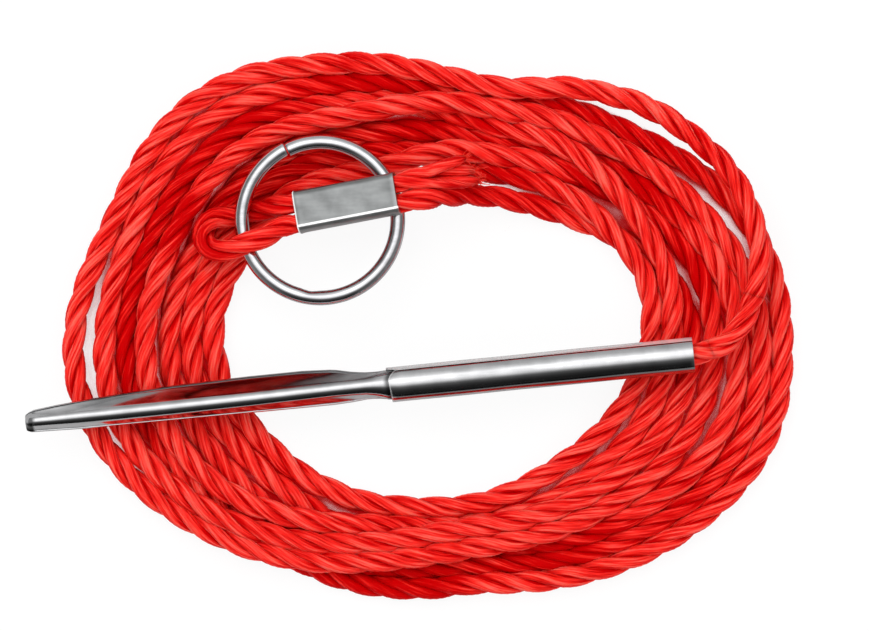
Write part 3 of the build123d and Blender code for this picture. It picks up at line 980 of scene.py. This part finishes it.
def needleSeamAndPaintedLight(tree, place):
    s, m = needleSettings, needleSeamAndPaintedLightSettings
    x, y, z = ownPlaces(tree, place, needlePlace())
    around = y.maths("ARCTAN2", y, z) * (180 / pi)
    corner = addNode(tree, "ShaderNodeMapRange", {}, {
        "Value": y, "From Min": m["flap"][0], "From Max": m["flap"][1]})
    cut = corner * corner * s["cornerCut"] * step(y, *m["flapEdge"])
    beyondFront = x + s["tubeLength"] + y * (s["frontSlant"] / 2 / s["radius"]) - cut
    # the tube's seam, a joint, is dark; painted shade lies along the tube's front edge, low on its near side,
    # in the tip's fold and on the far lip
    seam = band(around, *m["seam"]) * step(beyondFront, *m["seamEnd"])
    front = band(beyondFront, *m["front"]) * step(y, *m["frontSide"])
    under = band(around, *m["under"]) * step(beyondFront, *m["underEnd"])
    tip = step(x, *m["tip"]) * step(y, *m["tipSide"])
    far = step(y, *m["farSide"]) * step(x, *m["farStart"]) * step(beyondFront, *m["farEnd"])
    dark = larger(larger(seam, front * m["frontShare"]), tip)
    dark = larger(dark, under * m["underShare"] + far * m["farShare"])
    # a painted highlight runs along the tube's front edge, and a painted sheen, paler and less metallic, on its
    # side past the seam
    rim = band(beyondFront, *m["rim"])
    paintedSheen = band(around, *m["paintedSheen"]) * step(beyondFront, *m["paintedSheenEnd"])
    return dark, larger(rim * m["rimShare"], paintedSheen * m["paintedSheenShare"])


metalSeamsAndPaintedLight = {"sleeve": sleevePaintedHighlights, "needle": needleSeamAndPaintedLight}


def metalMaterial(name):
    look, s = metalLook[name], grainSettings
    material, tree = newMaterial(name + "Metal")
    place = addNode(tree, "ShaderNodeTexCoord", {}, {}, 3)
    long, fine = look["scratches"]
    drawn = addNode(tree, "ShaderNodeMapping", {}, {"Vector": place, "Scale": (long, fine, fine)})
    marks = addNode(tree, "ShaderNodeTexNoise", {}, {"Vector": drawn, "Scale": 1.0, "Detail": s["detail"]})
    cloud = addNode(tree, "ShaderNodeTexNoise", {}, {
        "Vector": place, "Scale": s["cloudScale"], "Detail": s["detail"]})
    unevenness = s["evenRoughness"] + s["scratchRoughness"] * marks + s["cloudRoughness"] * cloud
    dull = tuple(c * look["cloudy"] for c in look["colour"])
    both = cloud * 0.5 + marks * 0.5
    colour = addNode(tree, "ShaderNodeValToRGB", {
        "stops": [(s["dullAt"], dull), (s["fullAt"], look["colour"])]}, {"Fac": both})
    metallic = 1.0
    # painted highlights make the colour pale and less metallic; painted shade and the needle's seam make it
    # dark
    if name in metalSeamsAndPaintedLight:
        dark, bright = metalSeamsAndPaintedLight[name](tree, place)
        for share, towards in ((bright, s["paintedHighlight"]), (dark, s["seamAndPaintedShade"])):
            colour = addNode(tree, "ShaderNodeMix", {"data_type": "RGBA"}, {
                0: share, 6: colour, 7: towards}, 2)
        metallic = 1 - bright
    bump = addNode(tree, "ShaderNodeBump", {}, {
        "Strength": s["bump"], "Distance": look["depth"] * mm, "Height": both})
    roughness = look["roughness"] * unevenness
    shader = addNode(tree, "ShaderNodeBsdfPrincipled", {}, {
        "Base Color": colour, "Metallic": metallic, "Roughness": roughness, "Normal": bump})
    finish(shader)
    return material


for piece, name, node, slot in ((ringWire, "ring", "ring", "ring_wire"),
                                (crimpedSleeve, "sleeve", "crimp_sleeve", "sleeve_zinc"),
                                (needleBody, "needle", "needle", "needle_steel")):
    piece.data.materials.clear()
    piece.data.materials.append(metalMaterial(name))
    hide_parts(node)

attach(ringWire, "ring")
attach(crimpedSleeve, "cord")
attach(needleBody, "needle")
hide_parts("cord_coil", "cord_start", "cord_crimped", "cord_eye", "cord_lead")
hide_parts("cord_tail")
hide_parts("cord_bend")
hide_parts("cord_end")
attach(mainCord, "cord")
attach(cutEnd, "cord")
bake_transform(leadCord)
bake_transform(endCord)


floorSettings = {
    "size": 3.0, "below": 0.0001, "seenWhite": 0.9, "shadowReach": 0.007, "shadowSamples": 32,
    # how open a spot is to the sky, and its colour: the narrow gaps between the turns are painted with a red
    # shade, as red light fills them
    "stops": [(0.15, (0.36, 0.000, 0.001)), (0.21, (0.52, 0.060, 0.060)), (0.26, (0.95, 0.86, 0.86)),
              (0.30, (1.0, 1.0, 1.0))],
    "seenInMetal": 0.5, "colour": 0.94,
}


def makeFloor():
    s = floorSettings
    clearSelection()
    bpy.ops.mesh.primitive_plane_add(size=s["size"], location=(0, 0, -s["below"]))
    floor = bpy.context.object
    floor.name = "floor"
    material, tree = newMaterial("floorWhite")
    seen = addNode(tree, "ShaderNodeLightPath", {}, {}, "Is Camera Ray")
    openness = addNode(tree, "ShaderNodeAmbientOcclusion", {"samples": s["shadowSamples"]}, {
        "Distance": s["shadowReach"]}, 1)
    # painted shade: the floor's colour turns dark red where it is closed in by the turns
    colour = addNode(tree, "ShaderNodeValToRGB", {"stops": s["stops"]}, {"Fac": openness})
    # polished metal sees the floor darker
    inMetal = seen.output("Is Glossy Ray")
    share = s["colour"] - inMetal * (s["colour"] - s["seenInMetal"])
    paint = addNode(tree, "ShaderNodeVectorMath", {"operation": "SCALE"}, {0: colour, "Scale": share})
    plain = addNode(tree, "ShaderNodeBsdfDiffuse", {}, {"Color": paint})
    glow = addNode(tree, "ShaderNodeEmission", {}, {"Color": colour, "Strength": 1.0})
    both = addNode(tree, "ShaderNodeMixShader", {}, {0: seen * s["seenWhite"], 1: plain, 2: glow})
    finish(both)
    floor.data.materials.append(material)


lightSettings = {
    "world": 0.50,
    # what polished metal sees, from the near side's horizon over the top to the far side's
    "studio": [(0.00, 0.012), (0.18, 0.02), (0.27, 0.05), (0.36, 0.15), (0.41, 0.45), (0.46, 1.10),
               (0.55, 1.90), (0.65, 2.20), (0.74, 1.20), (0.84, 0.75), (1.00, 0.50)],
    "sides": 0.25, "sidesFrom": 0.30, "sidesTo": 0.70,      # its brightness towards the coil's left and right
    "lamps": [
        {"name": "topSoftbox", "place": (-0.25, 0.35, 0.9), "size": 0.8, "power": 7.6},
        {"name": "fillSoftbox", "place": (0.45, -0.35, 0.8), "size": 0.7, "power": 2.4}],
}


def makeLights():
    s = lightSettings
    world = bpy.data.worlds.new("studio")
    bpy.context.scene.world = world
    world.use_nodes = True
    tree = world.node_tree
    tree.nodes.clear()
    seen = addNode(tree, "ShaderNodeLightPath", {}, {}, "Is Camera Ray")
    glossy = seen.output("Is Glossy Ray")
    direction = addNode(tree, "ShaderNodeTexCoord", {}, {}, 0)
    parts = addNode(tree, "ShaderNodeSeparateXYZ", {}, {0: direction})
    y, z = parts.output(1), parts.output(2)
    tilt = y.maths("ARCTAN2", y, z) / pi + 0.5
    stops = [(place, (v, v, v)) for place, v in s["studio"]]
    across = addNode(tree, "ShaderNodeValToRGB", {"stops": stops}, {"Fac": tilt})
    leftOrRight = addNode(tree, "ShaderNodeMath", {"operation": "ABSOLUTE"}, {0: parts})
    share = addNode(tree, "ShaderNodeMapRange", {}, {
        "Value": leftOrRight, "From Min": s["sidesFrom"], "From Max": s["sidesTo"]})
    studio = addNode(tree, "ShaderNodeMix", {"data_type": "FLOAT"}, {0: share, 2: across, 3: s["sides"]})
    plain, bright, reflected = (
        addNode(tree, "ShaderNodeBackground", {}, {"Color": (1, 1, 1, 1), "Strength": strength})
        for strength in (s["world"], 1.0, studio))
    mixed = addNode(tree, "ShaderNodeMixShader", {}, {0: glossy, 1: plain, 2: reflected})
    last = addNode(tree, "ShaderNodeMixShader", {}, {0: seen, 1: mixed, 2: bright})
    finish(last, "ShaderNodeOutputWorld")
    for lamp in s["lamps"]:
        place = Vector(lamp["place"])
        turn = (-place).to_track_quat("-Z", "Y").to_euler()
        bpy.ops.object.light_add(type="AREA", location=place, rotation=turn)
        light = bpy.context.object
        light.name = lamp["name"]
        light.data.size = lamp["size"]
        light.data.energy = lamp["power"]
        light.visible_glossy = False


makeFloor()
makeLights()
bpy.context.scene.view_settings.view_transform = "Standard"

clearSelection()
